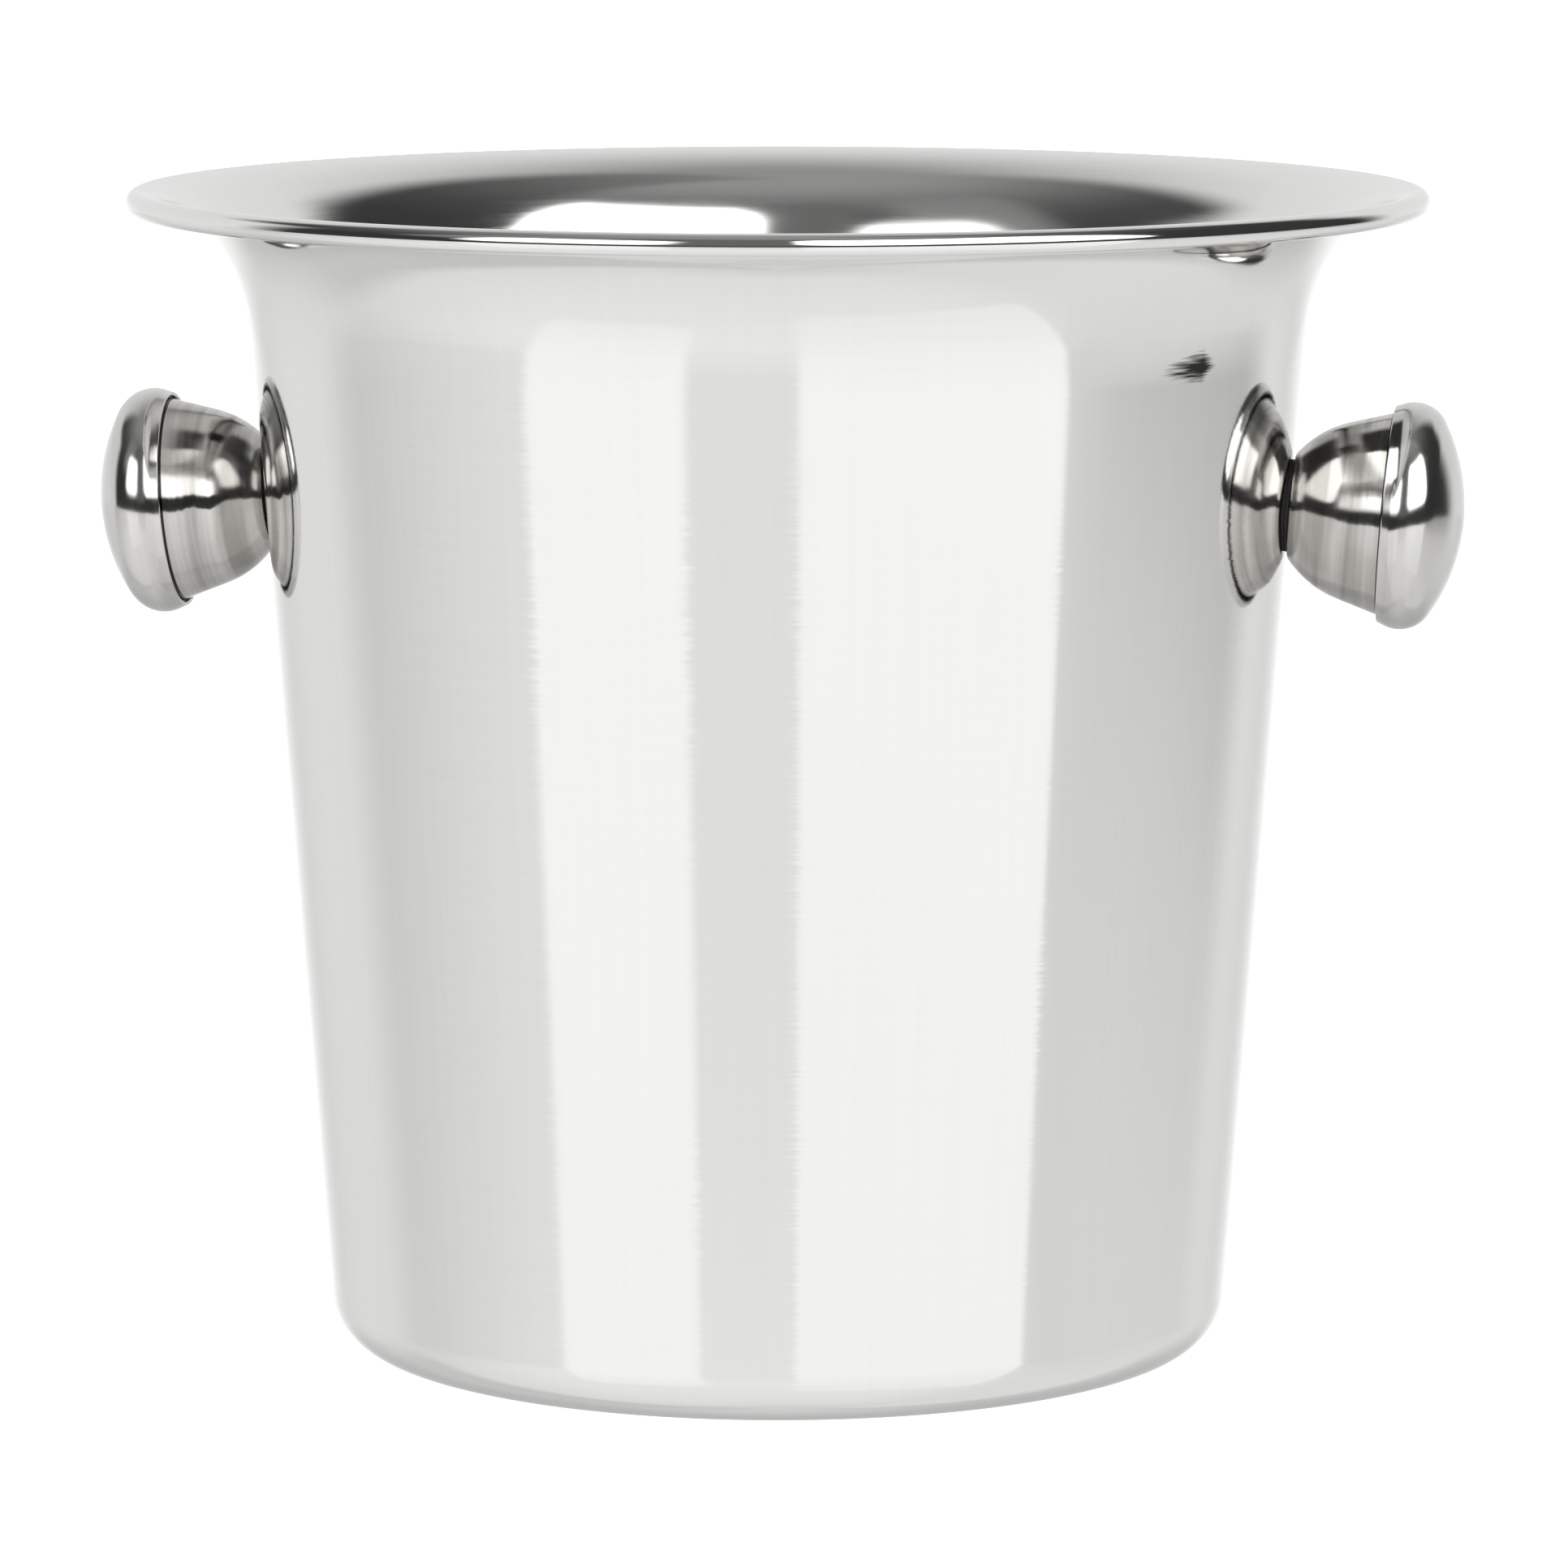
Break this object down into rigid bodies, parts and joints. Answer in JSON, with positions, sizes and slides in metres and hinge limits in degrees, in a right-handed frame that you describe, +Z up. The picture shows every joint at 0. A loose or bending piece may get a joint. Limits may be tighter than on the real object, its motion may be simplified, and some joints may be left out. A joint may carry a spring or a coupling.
{
  "type": "champagne bucket",
  "caption": "Round tapered ice bucket for a bottle, drawn from polished steel sheet, with a flared rolled rim and a mushroom knob handle on each side.",
  "frame": {"origin": "centre of the standing ring, on the surface the bucket stands on", "axes": "+Z up along the bucket's axis, +X through the right knob and -X through the left knob"},
  "size_m": [0.2328, 0.22, 0.198],
  "materials": {
    "polished_shell": "bright polished stainless steel, faint upright drawing lines outside, softer inside",
    "spun_knob_cup": "polished stainless steel with faint spin rings",
    "polished_knob_cap": "bright polished stainless steel",
    "bush_steel": "turned steel",
    "washer_steel": "satin steel",
    "screw_steel": "satin stainless steel",
    "black_rubber": "matt black rubber"
  },
  "bodies": {
    "root": {"bucket_shell": "polished_shell", "left_gasket": "black_rubber", "left_knob_cup": "spun_knob_cup", "left_knob_cap": "polished_knob_cap", "left_threaded_bush": "bush_steel", "left_inner_seal": "black_rubber", "left_washer": "washer_steel", "left_screw": "screw_steel", "right_gasket": "black_rubber", "right_knob_cup": "spun_knob_cup", "right_knob_cap": "polished_knob_cap", "right_threaded_bush": "bush_steel", "right_inner_seal": "black_rubber", "right_washer": "washer_steel", "right_screw": "screw_steel"}
  },
  "joints": []
}
